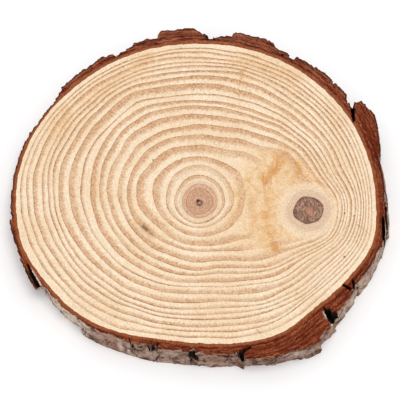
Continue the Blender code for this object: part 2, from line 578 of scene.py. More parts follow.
def cut_grain() -> bpy.types.NodeTree:
    """The grain that a saw leaves on wood and bark alike: a fine speckle and faint slanting tooth marks.

    Returns:
        A group from a place in mm to a shade round 1 and a height round 0.
    """
    tree = bpy.data.node_groups.new("cut_grain", "ShaderNodeTree")
    sockets = (("Place", "INPUT", "Vector"), ("Speckle", "INPUT", "Float"), ("Teeth", "INPUT", "Float"),
               ("Shade", "OUTPUT", "Float"), ("Height", "OUTPUT", "Float"))
    for name, direction, kind in sockets:
        tree.interface.new_socket(name, in_out=direction, socket_type="NodeSocket" + kind)
    source, sink = (tree.nodes.new(f"NodeGroup{end}") for end in ("Input", "Output"))
    graph = Graph(tree)
    place = source.outputs["Place"]
    across = graph.vector("DOT_PRODUCT", place, (2.9, 1.5, 0.0))
    along = graph.vector("DOT_PRODUCT", place, (-0.25, 0.5, 0.0))
    teeth = graph.sway(graph.from_axes(X=across, Y=along), 1.0, 3.0, 0.75)
    patches = graph.step(graph.noise(place, 0.12), 0.3, 0.7, 0.4, 1.6)
    teeth = graph.times(teeth, patches, source.outputs["Teeth"])
    both = graph.plus(graph.times(graph.sway(place, 2.4, 2.0, 0.75), source.outputs["Speckle"]), teeth)
    graph.feed(sink.inputs["Shade"], graph.plus(both, 1.0))
    graph.feed(sink.inputs["Height"], both)
    return tree


def start_material(name: str) -> tuple[bpy.types.Material, bpy.types.NodeTree, bpy.types.Node]:
    """Starts a material.

    Args:
        name: its name.

    Returns:
        The material, its node tree and its Principled BSDF.
    """
    material = bpy.data.materials.new(name)
    material.use_nodes = True
    return material, material.node_tree, material.node_tree.nodes["Principled BSDF"]


@dataclass(frozen=True)
class Surface:
    """How a sawn surface takes light: its grain, its bump, its roughness from and to, and its shine."""

    speckle: float
    teeth: float
    bump: float
    bump_mm: float
    roughness: tuple[float, float]
    specular: float

    def grained(self, graph: Graph, grain: bpy.types.NodeTree, place: Socket, teeth: object = 1.0) -> tuple:
        """Places the saw's grain, with its tooth marks times a factor, and gives its shade and height."""
        inputs = {"Place": place, "Speckle": self.speckle, "Teeth": graph.times(teeth, self.teeth)}
        return tuple(graph.add("Group", inputs, node_tree=grain).outputs)

    def dress(
        self, graph: Graph, shader: bpy.types.Node, colour: Socket, height: Socket, share: Socket
    ) -> None:
        """Feeds a Principled BSDF.

        Args:
            graph: the material's graph.
            shader: the Principled BSDF.
            colour: the colour.
            height: drives the bump.
            share: takes the roughness from its first value at 0 to its last at 1.
        """
        bump = graph.add("Bump", {"Height": height, "Strength": self.bump, "Distance": self.bump_mm * MM})
        roughness = graph.step(share, 0.0, 1.0, *self.roughness)
        inputs = {"Base Color": colour, "Normal": bump.outputs[0], "Roughness": roughness}
        for name, value in {**inputs, "Specular IOR Level": self.specular}.items():
            graph.feed(shader.inputs[name], value)


# The wood


@dataclass(frozen=True)
class RingLook:
    """How one year's ring looks: its dark band's share of it, and how strong its band and line are."""

    band_share: float
    band: float
    line: float


@dataclass(frozen=True)
class PithSpot:
    """A soft round spot by the pith: its middle, its full and outer radii, its strength and its colour."""

    centre_mm: tuple[float, float]
    core_mm: float
    reach_mm: float
    strength: float
    colour: Colour


@dataclass(frozen=True)
class WoodFinish:
    """Fresh-sawn pine: pale early wood, mottled brown late wood, a pink heart and one grey knot."""

    early: Colour = srgb(254, 231, 200)
    early_warm: Colour = srgb(249, 221, 186)
    band: Colour = srgb(228, 184, 143)
    band_speck: Colour = srgb(188, 130, 86)
    line: Colour = srgb(156, 102, 60)
    heart: Colour = srgb(236, 190, 156)
    heart_dark: Colour = srgb(172, 122, 92)
    orange: Colour = srgb(221, 157, 94)
    yellow: Colour = srgb(240, 197, 142)
    scar: Colour = srgb(116, 66, 34)
    halo: Colour = srgb(230, 197, 167)
    halo_pale: Colour = srgb(248, 222, 188)
    halo_line: Colour = srgb(203, 166, 138)
    knot: Colour = srgb(200, 158, 134)
    knot_dark: Colour = srgb(106, 68, 52)
    knot_rim: Colour = srgb(96, 68, 54)
    knot_core: Colour = srgb(192, 134, 104)
    knot_centre_mm: tuple[float, float] = (30.1, -2.35)
    knot_core_mm: tuple[float, float] = (30.45, -2.25)
    knot_radius_mm: float = 4.3
    widest_band_mm: float = 2.5
    surface: Surface = Surface(
        speckle=0.82, teeth=0.44, bump=0.35, bump_mm=0.12, roughness=(0.72, 0.6), specular=0.25
    )
    north_mm: tuple[float, float] = (8.0, 44.0)
    calm_mm: tuple[float, float] = (6.2, 9.4)
    dot_mm: tuple[float, float] = (0.1, 0.42)
    crack_mm: tuple[float, float] = (0.06, 0.22)
    ring_wobble: float = 0.36
    ring_jag: float = 0.08
    ring_ruffle: float = 0.16
    pith_spots: tuple[PithSpot, ...] = several(PithSpot, (
        ((0.05, 0.0), 1.20, 1.60, 0.45, srgb(150, 106, 84)),
        ((0.05, 0.0), 0.70, 1.05, 0.80, srgb(118, 80, 60)),
        ((-0.35, 0.65), 0.25, 0.65, 1.00, srgb(56, 34, 24)),
        ((0.05, -0.65), 0.10, 0.50, 0.80, srgb(66, 42, 30)),
        ((0.55, 0.35), 0.10, 0.45, 0.50, srgb(66, 42, 30)),
        # A painted highlight on the pith.
        ((0.08, 0.0), 0.15, 0.50, 0.90, srgb(205, 165, 138)),
    ))
    heart_rings: tuple[tuple[float, float, float], ...] = (
        (0.74, 0.06, 0.85), (0.60, 0.05, 0.35), (0.50, 0.05, 0.45), (0.38, 0.05, 0.50), (0.88, 0.04, 0.35),
        (1.00, 0.07, 0.75), (1.16, 0.10, 0.40), (1.34, 0.10, 0.35), (1.62, 0.10, 0.30), (2.50, 0.10, 0.25),
    )
    dots: tuple[tuple[Polar, float], ...] = (
        ((-22.5, 42.8), 1.0), ((-4.5, 40.2), 1.0), ((134.0, 18.5), 0.9), ((-5.4, 42.8), 0.45),
    )
    fissures: tuple[tuple[Polar, Polar, float], ...] = (
        ((292.0, 40.4), (293.0, 42.4), 0.6), ((-8.4, 43.6), (-9.8, 45.2), 0.5),
        ((-9.8, 45.2), (-10.2, 46.2), 0.6), ((-10.2, 46.2), (-11.6, 47.6), 0.4),
    )
    rings: tuple[RingLook, ...] = several(RingLook, (
        (0.10, 0.2, 0.5), (0.44, 0.8, 0.7), (0.48, 0.8, 0.7), (0.62, 0.95, 0.6), (0.70, 1.0, 0.4),
        (0.58, 1.0, 0.6), (0.58, 0.95, 0.7), (0.55, 1.0, 0.75), (0.55, 1.0, 0.8), (0.60, 1.0, 0.7),
        (0.30, 0.75, 0.85), (0.66, 1.0, 0.7), (0.56, 0.9, 0.8), (0.48, 0.85, 0.9), (0.50, 0.85, 0.9),
        (0.50, 0.9, 0.8), (0.54, 0.9, 0.8), (0.46, 0.85, 0.8), (0.44, 0.75, 0.75), (0.20, 0.3, 0.3),
    ))

    def material(self, trunk: Trunk, grain: bpy.types.NodeTree) -> bpy.types.Material:
        """Builds the procedural material.

        Args:
            trunk: gives the place of the pith.
            grain: the saw's grain.

        Returns:
            The material.
        """
        material, tree, shader = start_material("fresh_sawn_pine")
        graph = WoodGraph(tree, self, trunk)
        shade, grain_height = self.surface.grained(graph, grain, graph.place, graph.north)
        band, line = graph.late_wood()
        band_colour = graph.mix(graph.times(graph.specks, 0.7), self.band, self.band_speck)
        colour = graph.over(graph.early_wood(), (band, band_colour), (line, self.line))
        colour = graph.knot_wood(graph.heart_wood(colour))
        marks = graph.marks()
        colour = graph.scale(graph.mix(graph.share(marks, 0.9), colour, self.scar), shade)
        height = graph.plus(grain_height, graph.times(line, -0.35), graph.times(marks, -0.6))
        self.surface.dress(graph, shader, colour, height, band)
        return material


class WoodGraph(Graph):
    """The graph of the wood, with the fields that its parts share; lengths are in mm.

    The way is a unit vector from the pith, and the streaks run along it. The age attribute is whole on each
    ring's dark outer edge, and the age here ruffles those edges. The reach is the distance from the middle of
    the knot inside its uneven outline, and the loose reach is ruffled too. The north is 1 at the pith and
    grows towards +Y, where the saw bit deeper.
    """

    def __init__(self, tree: bpy.types.NodeTree, look: WoodFinish, trunk: Trunk) -> None:
        """Adds the shared fields.

        Args:
            tree: the material's node tree.
            look: its colours and sizes.
            trunk: gives the place of the pith.
        """
        super().__init__(tree)
        self.look = look
        self.place = self.place_mm()
        offset = self.vector("SUBTRACT", self.place, (*trunk.pith_mm, 0.0))
        self.from_pith = self.stretch(offset, (1.0, 1.0, 0.0))
        self.way = self.vector("NORMALIZE", self.from_pith)
        lifted = self.from_axes(Z=self.times(self.vector("LENGTH", self.from_pith), 0.8))
        radial = self.vector("ADD", self.stretch(self.way, (105.0, 105.0, 0.0)), lifted)
        self.north = self.step(self.axis(self.from_pith, "Y"), *look.north_mm, 1.0, 1.9)
        self.wobble = self.sway(self.place, 0.13, 0.0)
        self.ruffle = self.sway(self.place, 1.1, 3.0, 0.7)
        self.jag = self.sway(radial, 1.0, 2.0, 0.6)
        shifts = ((self.wobble, look.ring_wobble), (self.jag, look.ring_jag), (self.ruffle, look.ring_ruffle))
        self.age = self.plus(self.attribute("age"), *(self.times(*shift) for shift in shifts))
        self.streaks = self.step(self.noise(radial, 1.7, 2.0, 0.7), 0.32, 0.68)
        self.specks = self.step(self.noise(self.place, 1.7, 2.0, 0.85), 0.47, 0.60)
        to_knot = self.vector("SUBTRACT", self.from_pith, (*look.knot_centre_mm, 0.0))
        self.to_knot = self.stretch(to_knot, (1.03, 1.0, 1.0))
        outline = self.times(self.sway(self.to_knot, 0.16, 1.0), 2.0)
        self.reach = self.plus(self.vector("LENGTH", self.to_knot), outline)
        self.loose = self.plus(self.reach, self.times(self.ruffle, 0.7))

    def spot(self, centre: Polar, inner: float, outer: float) -> Socket:
        """A soft round spot: 1 within inner mm of a centre, 0 beyond outer mm."""
        return self.step(self.vector("DISTANCE", self.from_pith, (*centre, 0.0)), inner, outer, 1.0, 0.0)

    def fissure(self, start: Polar, end: Polar) -> Socket:
        """A hair crack: 1 near a line.

        Args:
            start: angle and radius of its first end.
            end: angle and radius of its other end.

        Returns:
            Its cover.
        """
        first = np.array(around(*start))
        run = np.array(around(*end)) - first
        length = float(np.linalg.norm(run))
        way = (*(run / length), 0.0)
        offset = self.vector("SUBTRACT", self.from_pith, (*first, 0.0))
        along = self.vector("DOT_PRODUCT", offset, way)
        beside = self.vector("LENGTH", self.vector("CROSS_PRODUCT", offset, way))
        ends = (self.step(along, 0.0, 0.4), self.step(along, length - 0.6, length, 1.0, 0.0))
        return self.times(self.step(beside, *self.look.crack_mm, 1.0, 0.0), *ends)

    def late_wood(self) -> tuple[Socket, Socket]:
        """The dark band of each ring and the line on its outer edge, both calmed round the knot.

        The whole part of the age picks the ring's look, and its fraction runs from the pale inner side to the
        dark edge.

        Returns:
            The covers of the bands and of the lines.
        """
        step, times = self.step, self.times
        whole = self.math("FLOOR", self.age)
        band_share, band, line = self.pick(whole, [astuple(look) for look in self.look.rings])
        ring = self.attribute("ring_mm")
        inward_mm = times(self.minus(1.0, self.minus(self.age, whole)), ring)
        band_mm = self.math("MINIMUM", times(band_share, ring), self.look.widest_band_mm)
        inward = self.plus(self.math("DIVIDE", inward_mm, band_mm), self.jag, times(self.ruffle, 1.2))
        each_year = self.from_axes(Z=times(whole, 5.3))
        turn = self.vector("ADD", self.stretch(self.way, (1.7, 1.7, 0.0)), each_year)
        turn = self.noise(turn, 1.0, 1.0)
        mottle = self.noise(self.place, 0.33)
        band = self.share(
            step(inward, 0.50, 1.20, 1.0, 0.0), band, step(self.streaks, 0.0, 1.0, 0.85, 1.1),
            step(mottle, 0.25, 0.70, 0.75, 1.1), step(turn, 0.3, 0.7, 0.8, 1.15),
            self.math("POWER", self.north, 0.5),
        )
        line = self.share(
            step(self.plus(inward_mm, times(self.ruffle, 0.6)), 0.08, 0.40, 1.0, 0.0), line,
            step(mottle, 0.30, 0.65, 0.65, 1.1), step(turn, 0.3, 0.7, 0.45, 1.15),
            step(self.streaks, 0.0, 1.0, 0.6, 1.0),
        )
        lively = self.minus(1.0, self.attribute(Tint.CALM.value))
        calm = times(step(self.loose, *self.look.calm_mm), step(self.age, 0.98, 1.04), lively)
        return times(band, calm), times(line, calm)

    def early_wood(self) -> Socket:
        """Pale wood, warmer here and there, with the orange stain in swirls.

        Returns:
            The colour.
        """
        look, step = self.look, self.step
        warmth = step(self.noise(self.place, 0.09), 0.35, 0.65)
        swirl = self.noise(self.bend(self.place, 0.16, (16.0, 16.0, 0.0)), (0.55, 0.2, 1.0), 1.0)
        orange = self.share(
            self.attribute(Tint.ORANGE.value), step(self.streaks, 0.0, 1.0, 0.75, 1.15),
            step(swirl, 0.35, 0.65, 0.72, 1.22),
        )
        stain = (self.share(orange, 1.7), look.yellow), (step(orange, 0.25, 1.05), look.orange)
        return self.over(self.mix(warmth, look.early, look.early_warm), *stain)

    def heart_wood(self, colour: Socket) -> Socket:
        """Lays the pink heart, its fine rings and the spots of the pith over a colour.

        Args:
            colour: what lies under them.

        Returns:
            The colour.
        """
        look, step = self.look, self.step
        age = self.plus(self.attribute("age"), self.times(self.wobble, 0.10))
        colour = self.mix(step(age, 0.96, 1.02, 1.0, 0.0), colour, look.heart)
        dark = [step(age, 0.66, 0.76, 0.26, 0.0)]
        for centre, width, strength in look.heart_rings:
            dark.append(step(self.math("ABSOLUTE", self.minus(age, centre)), 0.0, width, strength, 0.0))
        dark.append(self.times(step(age, 0.96, 1.02, 0.45, 0.0), self.specks))
        colour = self.over(colour, *((cover, look.heart_dark) for cover in dark))
        for spot in look.pith_spots:
            cover = self.spot(spot.centre_mm, spot.core_mm, spot.reach_mm)
            colour = self.mix(self.times(cover, spot.strength), colour, spot.colour)
        return colour

    def knot_wood(self, colour: Socket) -> Socket:
        """Lays the knot with its pale rippled halo over a colour.

        Args:
            colour: what lies under them.

        Returns:
            The colour.
        """
        look, step, times, loose = self.look, self.step, self.times, self.loose
        edge = look.knot_radius_mm
        pale = times(step(loose, 5.6, 7.0), step(loose, 7.8, 9.4, 1.0, 0.0), 0.7)
        ripple = times(
            step(self.math("SINE", times(loose, 8.4)), -0.3, 1.0), step(loose, 5.4, 8.8, 0.42, 0.0),
            step(self.streaks, 0.0, 1.0, 0.5, 1.0),
        )
        scratch = step(self.noise(self.to_knot, (1.56, 0.84, 1.2), 5.0, 0.85), 0.40, 0.61)
        clouds = step(self.noise(self.to_knot, 0.4, 1.0), 0.38, 0.62, 0.6, 1.15)
        rim = step(self.plus(self.reach, self.ruffle), edge - 0.9, edge, 0.0, 0.55)
        core = times(self.spot(look.knot_core_mm, 0.3, 1.7), 0.85)
        knot = self.over(
            look.knot_dark, (self.share(scratch, clouds), look.knot), (rim, look.knot_rim),
            (core, look.knot_core),
        )
        return self.over(
            colour, (step(loose, 5.8, 8.0, 0.9, 0.0), look.halo), (pale, look.halo_pale),
            (ripple, look.halo_line), (step(self.reach, edge - 0.12, edge + 0.12, 1.0, 0.0), knot),
        )

    def marks(self) -> Socket:
        """The scars, the dark dots and the hair cracks.

        Returns:
            The strongest cover of them at each point.
        """
        look = self.look
        covers = [(self.spot(around(*dot), *look.dot_mm), strength) for dot, strength in look.dots]
        covers += [(self.fissure(start, end), strength) for start, end, strength in look.fissures]
        marks = [self.times(cover, strength) for cover, strength in covers]
        return self.math("MAXIMUM", self.attribute(Tint.SCAR.value), *marks)


@dataclass(frozen=True)
class WoodDisc:
    """The wood: a disc whose rows follow the growth rings, so that its age attribute draws them.

    ring_tenths holds one line for every 15 degrees: the radius of each ring's dark edge in tenths of a mm,
    outermost first.
    """

    trunk: Trunk
    ring_tenths: tuple[tuple[int, ...], ...] = (
        (478, 470, 462, 455, 448, 439, 433, 421, 409, 402, 395, 383, 372, 360, 155, 125, 94, 70, 50),
        (480, 471, 461, 450, 440, 426, 415, 399, 385, 375, 362, 350, 336, 315, 198, 129, 99, 73, 51),
        (487, 477, 465, 452, 438, 424, 411, 394, 375, 362, 349, 337, 318, 299, 224, 134, 101, 77, 52),
        (491, 477, 464, 452, 440, 421, 406, 385, 362, 347, 334, 314, 288, 250, 208, 139, 104, 80, 54),
        (493, 480, 467, 452, 440, 423, 406, 379, 354, 332, 313, 292, 262, 228, 189, 143, 110, 83, 56),
        (493, 478, 464, 452, 441, 428, 406, 379, 347, 325, 307, 279, 248, 214, 182, 144, 115, 85, 58),
        (495, 483, 464, 449, 438, 421, 405, 379, 347, 325, 308, 280, 246, 214, 184, 145, 117, 86, 59),
        (497, 487, 474, 455, 442, 425, 404, 382, 348, 330, 309, 282, 245, 217, 186, 145, 115, 85, 58),
        (498, 488, 474, 455, 445, 432, 416, 395, 362, 341, 317, 290, 248, 218, 189, 145, 111, 81, 55),
        (498, 488, 476, 453, 440, 425, 410, 384, 350, 336, 311, 285, 248, 218, 185, 144, 107, 77, 52),
        (502, 490, 474, 452, 439, 421, 405, 378, 349, 324, 299, 271, 241, 214, 185, 141, 101, 74, 49),
        (501, 488, 470, 448, 434, 420, 401, 372, 337, 312, 287, 265, 233, 207, 181, 135, 96, 71, 48),
        (495, 477, 460, 434, 417, 402, 389, 356, 323, 296, 271, 249, 222, 199, 172, 126, 91, 69, 47),
        (480, 459, 439, 416, 398, 384, 368, 337, 309, 285, 255, 237, 206, 187, 154, 117, 88, 67, 47),
        (459, 442, 420, 399, 384, 368, 347, 319, 294, 274, 246, 224, 196, 172, 141, 110, 84, 65, 46),
        (447, 428, 407, 384, 366, 350, 332, 307, 285, 262, 237, 213, 189, 160, 135, 105, 81, 65, 46),
        (430, 405, 386, 364, 353, 338, 318, 291, 268, 251, 226, 204, 179, 150, 131, 102, 78, 65, 47),
        (406, 390, 376, 356, 344, 328, 309, 282, 260, 246, 223, 204, 179, 149, 131, 102, 77, 65, 47),
        (400, 383, 370, 349, 336, 319, 300, 273, 253, 241, 220, 205, 180, 149, 132, 104, 77, 65, 47),
        (415, 398, 380, 360, 342, 324, 304, 284, 263, 249, 222, 206, 184, 154, 138, 106, 78, 64, 46),
        (428, 410, 400, 376, 363, 350, 338, 313, 285, 271, 246, 226, 200, 168, 144, 108, 79, 64, 46),
        (432, 412, 404, 396, 384, 372, 355, 340, 322, 306, 284, 273, 245, 199, 157, 112, 81, 64, 47),
        (446, 434, 424, 414, 403, 393, 378, 362, 346, 332, 320, 307, 283, 256, 195, 116, 83, 65, 48),
        (477, 466, 456, 448, 440, 430, 420, 411, 400, 391, 383, 374, 362, 340, 158, 121, 88, 67, 49),
    )
    calm: tuple[Stroke, ...] = several(Stroke, (
        ((-35, 20.5), (-12, 16), 6), ((-12, 16), (10, 17.2), 5), ((10, 17.2), (33, 22.4), 6.5),
        ((26, 26), (14, 29.6), 4, 0.5), ((-17, 24), (-23, 29), 3, 0.4), ((-36, 41), (-16, 41), 11, 0.26),
    ), Tint.CALM)
    orange: tuple[Stroke, ...] = several(Stroke, (
        ((24, 20), (-26, 20.5), 14, 0.48), ((28, 26), (15, 29.5), 8, 0.55), ((38, 23), (26, 28), 5, 0.4),
        ((18.5, 20.1), (29, 26), 3, 0.95), ((20, 20), (32, 26), 6, 0.6), ((29, 26), (31.5, 28.6), 3, 0.75),
        ((27, 19.6), (19, 19.8), 4.4, 0.8), ((30.5, 28), (19, 29.4), 3.4, 0.72),
        ((27, 26.6), (17, 27.4), 5, 0.45), ((27, 15.5), (0, 14.4), 3.4, 0.5),
        ((0, 14.4), (-26, 17), 3.4, 0.5), ((16, 19.6), (-4, 18.6), 5, 0.5),
        ((-9, 15), (-16, 17.6), 1.6, 0.5), ((-6, 18.6), (-31, 23.6), 3.4, 0.62),
        ((-31, 23.6), (-33, 25.6), 2.4, 0.9), ((-12, 22.6), (-24, 26.4), 5, 0.4),
        ((-35, 18), (-22, 17.6), 6, 0.28), ((-24, 11.2), (0, 11.3), 3, 0.5), ((0, 11.3), (24, 12), 3, 0.5),
        ((3.5, 36), (12.5, 33.4), 1.5, 0.9), ((2, 36.6), (-9, 36.2), 2.6, 0.45),
        ((74, 40.5), (74, 44.2), 1.3, 0.6), ((76, 46.6), (58, 48), 4.4, 0.36),
        ((152, 45.4), (143, 47.5), 4, 0.36), ((135, 46), (108, 48.5), 5, 0.34),
        ((199, 17.6), (219, 16.4), 2, 0.55), ((165, 30.6), (177, 29.1), 1.3, 0.55),
    ), Tint.ORANGE)
    scars: tuple[Stroke, ...] = several(Stroke, (
        ((204.8, 17), (210, 16.6), 1, 0.85), ((211, 16.5), (217, 16.1), 0.8, 0.4),
        ((202, 17.2), (214, 16.4), 1.8, 0.2), ((74.4, 43), (73.8, 43.9), 0.5, 0.5),
    ), Tint.SCAR)
    columns: int = 720
    rows_a_ring: int = 2
    gap_rows: int = 50
    inner_gap_rows: int = 14
    edge_age: float = 19.6
    bark_gap_mm: float = 0.02

    def ages(self) -> Array:
        """Ages of the rows over the upper face: even steps, closer where the rings part round the knot.

        Returns:
            One age a row.
        """
        rows = {4: self.inner_gap_rows, 5: self.gap_rows}
        steps = [np.linspace(k, k + 1, rows.get(k, self.rows_a_ring), endpoint=False) for k in range(1, 19)]
        return np.concatenate([[0.12, 0.36, 0.55, 0.74, 0.88], *steps, [19.0, 19.3, self.edge_age]])

    def radii(self, ages: Array, angles: Array) -> Array:
        """Radius at each age and angle: straight between two rings' edges, each edge a closed spline.

        Args:
            ages: one a row.
            angles: degrees, one a column.

        Returns:
            Rows by columns, in mm from the pith.
        """
        edges = closed_spline(np.array(self.ring_tenths).T[::-1] / 10.0, angles)
        outside = self.trunk.wood_radius(angles) + self.trunk.seam_mm - self.bark_gap_mm
        edges = np.concatenate([np.zeros((1, len(angles))), edges, outside[None]])
        stations = np.array([*range(20), self.edge_age])
        index = np.clip(np.searchsorted(stations, ages, side="right") - 1, 0, len(stations) - 2)
        t = ((ages - stations[index]) / (stations[index + 1] - stations[index]))[:, None]
        return edges[index] * (1.0 - t) + edges[index + 1] * t

    def build(self, grain: bpy.types.NodeTree) -> bpy.types.Object:
        """Builds and dresses the disc.

        Rows run from the pith over the upper face to the edge, down the side and back over the lower face.

        Args:
            grain: the saw's grain.

        Returns:
            The finished piece.
        """
        angles = np.arange(self.columns) * 360.0 / self.columns
        top = self.ages()
        below = np.concatenate([[self.edge_age], np.arange(19.0, 0.0, -1.0), [0.5]])
        ages = np.concatenate([top, [self.edge_age], below])
        thick = self.trunk.thickness_mm
        heights = np.concatenate([np.full(len(top), thick), [thick / 2], np.zeros(len(below))])
        radii = self.radii(ages, angles)
        mesh = grid_mesh("wood_disc", self.trunk.place(angles, radii, heights[:, None]), closed_section=False)
        give(mesh, "age", np.broadcast_to(ages[:, None], radii.shape))
        inner = np.clip(np.ceil(ages) - 1.0, 0.0, 18.0)
        give(mesh, "ring_mm", self.radii(inner + 1.0, angles) - self.radii(inner, angles))
        x, y = around(angles, radii)
        flow = stacked(x, y, 0.0)
        give(mesh, Tint.SCAR.value, painted(self.scars, Tint.SCAR, x, y))
        drift = [0.9 * lattice_noise(flow * 0.25, seed) + 0.35 * lattice_noise(flow * 0.7, seed + 1)
                 for seed in (31, 33)]
        for tint, strokes in ((Tint.ORANGE, self.orange), (Tint.CALM, self.calm)):
            give(mesh, tint.value, painted(strokes, tint, x + drift[0], y + drift[1]))
        mesh.materials.append(WoodFinish().material(self.trunk, grain))
        return make_piece("wood_disc", mesh, "wood")


# The bark


@dataclass(frozen=True)
class Plate:
    """A plate of bark: where it ends, its thickness beyond the wood at both ends, and its flare further down.

    The flare runs from the hold share of the depth to the depth share: 1 is the lower face.
    """

    end: float
    first_mm: float
    last_mm: float
    flare_mm: float
    depth_share: float = 1.0
    hold_share: float = 0.0


@dataclass(frozen=True)
class Crack:
    """A crack down from the upper face: its mouth and root, each an angle and a radius in mm."""

    mouth: Polar
    root: Polar
    width_mm: float
    depth_mm: float
    root_share: float = 0.25

    def sink(self, x: Array, y: Array) -> Array:
        """How far the crack sinks the face: its depth inside a ragged wedge, 0 outside.

        Args:
            x: mm from the pith along X.
            y: mm from the pith along Y.

        Returns:
            Depths in mm.
        """
        root, mouth = np.array(around(*self.root)), np.array(around(*self.mouth))
        run = mouth - root
        length = float(np.linalg.norm(run))
        flow = stacked(x, y, 0.0)
        ragged = 0.6 * lattice_noise(flow * 1.3, 11) + 0.6 * lattice_noise(flow * 2.6, 12)
        along = ((x - root[0]) * run[0] + (y - root[1]) * run[1]) / length
        beside = np.abs((x - root[0]) * run[1] - (y - root[1]) * run[0]) / length
        share = np.clip(along / length, 0.0, 1.0)
        half = 0.5 * self.width_mm * (self.root_share + (1.0 - self.root_share) * share)
        inside = smooth_step(1.25, 0.85, beside / half + 0.4 * ragged)
        ends = smooth_step(-0.25, 0.15, along) * smooth_step(length + 1.2, length + 0.6, along)
        return self.depth_mm * inside * ends


@dataclass(frozen=True)
class BarkFinish:
    """Pine bark: a red-brown layered cut face, a grey-pink scaly skin, cream flakes, and cracks filled with
    painted dark shade.
    """

    cut: Colour = srgb(119, 50, 24)
    cut_dark: Colour = srgb(80, 23, 5)
    cut_light: Colour = srgb(180, 104, 68)
    inner: Colour = srgb(164, 92, 56)
    weathered: Colour = srgb(160, 100, 78)
    # Painted shade: the dark of the cut face's rim and of the grooves and seams between scales.
    rim: Colour = srgb(72, 36, 25)
    skin: Colour = srgb(176, 146, 130)
    skin_dark: Colour = srgb(108, 70, 54)
    skin_pink: Colour = srgb(188, 146, 128)
    # Cream flakes on the skin, and the colour of the painted highlights on the cut face.
    cream: Colour = srgb(244, 228, 208)
    # Painted shade inside the cracks.
    crack_shade: Colour = srgb(24, 14, 12)
    surface: Surface = Surface(
        speckle=1.1, teeth=0.5, bump=0.6, bump_mm=0.25, roughness=(0.8, 0.92), specular=0.08
    )
    rear_mm: tuple[float, float] = (15.0, 45.0)
    # How much the rear is weathered, and how much deeper the rim's painted shade is there.
    rear_wear_and_shade: float = 0.48
    layer_turn: float = 5.4

    def cut_face(self, graph: Graph, place: Socket) -> tuple[Socket, Socket]:
        """The layered cut face, paler inside, with painted shade along its rim, and weathered at the rear.

        The sheet attribute unrolls the bark: x and y run round the roll and z counts mm out from the wood, so
        noise that is finer along z draws the layers.

        Args:
            graph: the material's graph.
            place: the place in mm.

        Returns:
            The colour, and the height of its layers.
        """
        step, times, plus = graph.step, graph.times, graph.plus
        sheet = graph.attribute("sheet", "Vector")
        layer = graph.axis(sheet, "Z")
        drift = graph.noise(sheet, (0.05, 0.05, 0.45), 3.0, 0.55)
        fray = graph.noise(sheet, (0.6, 0.6, 1.8), 3.0, 0.65)
        phase = plus(times(layer, self.layer_turn), times(drift, 15.0), times(fray, 5.0))
        finer = graph.math("SINE", times(phase, 2.3))
        wave = plus(graph.math("SINE", phase), times(finer, 0.5))
        broken = graph.noise(sheet, (0.16, 0.16, 0.7))
        rear = step(graph.axis(place, "Y"), *self.rear_mm)
        light = graph.share(step(wave, 0.50, 1.20), step(broken, 0.40, 0.60), step(rear, 0.0, 1.0, 0.72, 1.1))
        dark = step(wave, 0.0, -1.20)
        dark = graph.share(dark, step(broken, 0.40, 0.58, 1.0, 0.35), step(rear, 0.0, 1.0, 1.0, 2.2))
        worn = times(rear, self.rear_wear_and_shade, step(broken, 0.3, 0.7, 0.5, 1.2))
        tints = (worn, self.weathered), (dark, self.cut_dark), (light, self.cut_light)
        colour = graph.over(self.cut, *tints)
        sheets = graph.noise(sheet, (0.10, 0.10, 0.95), 4.0, 0.7)
        for level, width, tint in ((0.54, 0.022, self.cut_light), (0.46, 0.034, self.cut_dark)):
            off = graph.math("ABSOLUTE", graph.minus(sheets, level))
            colour = graph.mix(step(off, 0.0, width, 0.85, 0.0), colour, tint)
        ragged = plus(layer, times(graph.sway(place, 0.8), 1.2))
        colour = graph.mix(step(ragged, 0.3, 1.25, 0.85, 0.0), colour, self.inner)
        # Painted shade along the rim of the cut face, kept lighter at the front and deeper at the rear.
        behind = plus(1.0, times(rear, self.rear_wear_and_shade))
        edge = graph.share(step(graph.attribute("rim"), 0.25, 0.65, 1.5, 0.0), broken)
        colour = graph.mix(graph.share(edge, behind), colour, self.rim)
        grit = times(graph.sway(place, 2.2, 3.0, 0.85), plus(1.4, behind))
        return graph.scale(colour, plus(grit, 1.0)), graph.minus(times(light, 0.4), times(dark, 0.5))

    def outer_skin(self, graph: Graph, place: Socket) -> tuple[Socket, Socket]:
        """The scaly skin, blotched and pink in places, with cream flakes and painted shade along the seams
        between its scales.

        Args:
            graph: the material's graph.
            place: the place in mm.

        Returns:
            The colour, and the height of its relief.
        """
        step, times = graph.step, graph.times
        tone = graph.attribute("tone")
        blotch = graph.noise(place, 0.30, 3.0, 0.6)
        run = graph.noise(place, 1.3, 4.0, 0.7)
        shade = graph.plus(blotch, times(run, 0.55))
        skin = graph.mix(step(shade, 0.60, 0.96), self.skin_dark, self.skin)
        skin = graph.mix(step(tone, 0.45, 0.8, 0.0, 0.6), skin, self.skin_pink)
        pale = graph.plus(graph.attribute(Tint.PALE.value), step(tone, 0.86, 0.90, 0.0, 0.5))
        skin = graph.mix(graph.share(pale, step(run, 0.36, 0.62, 0.35, 1.0)), skin, self.cream)
        # Painted shade along the seams between the scales.
        bent = graph.bend(place, 0.3, (5.0, 5.0, 5.0))
        edges = graph.add("TexVoronoi", {"Vector": bent, "Scale": 0.2}, feature="DISTANCE_TO_EDGE")
        seams = step(edges.outputs["Distance"], 0.015, 0.07, 1.0, 0.0)
        seams = times(seams, step(blotch, 0.40, 0.62, 1.0, 0.0))
        return graph.mix(times(seams, 0.85), skin, self.rim), graph.minus(shade, seams)

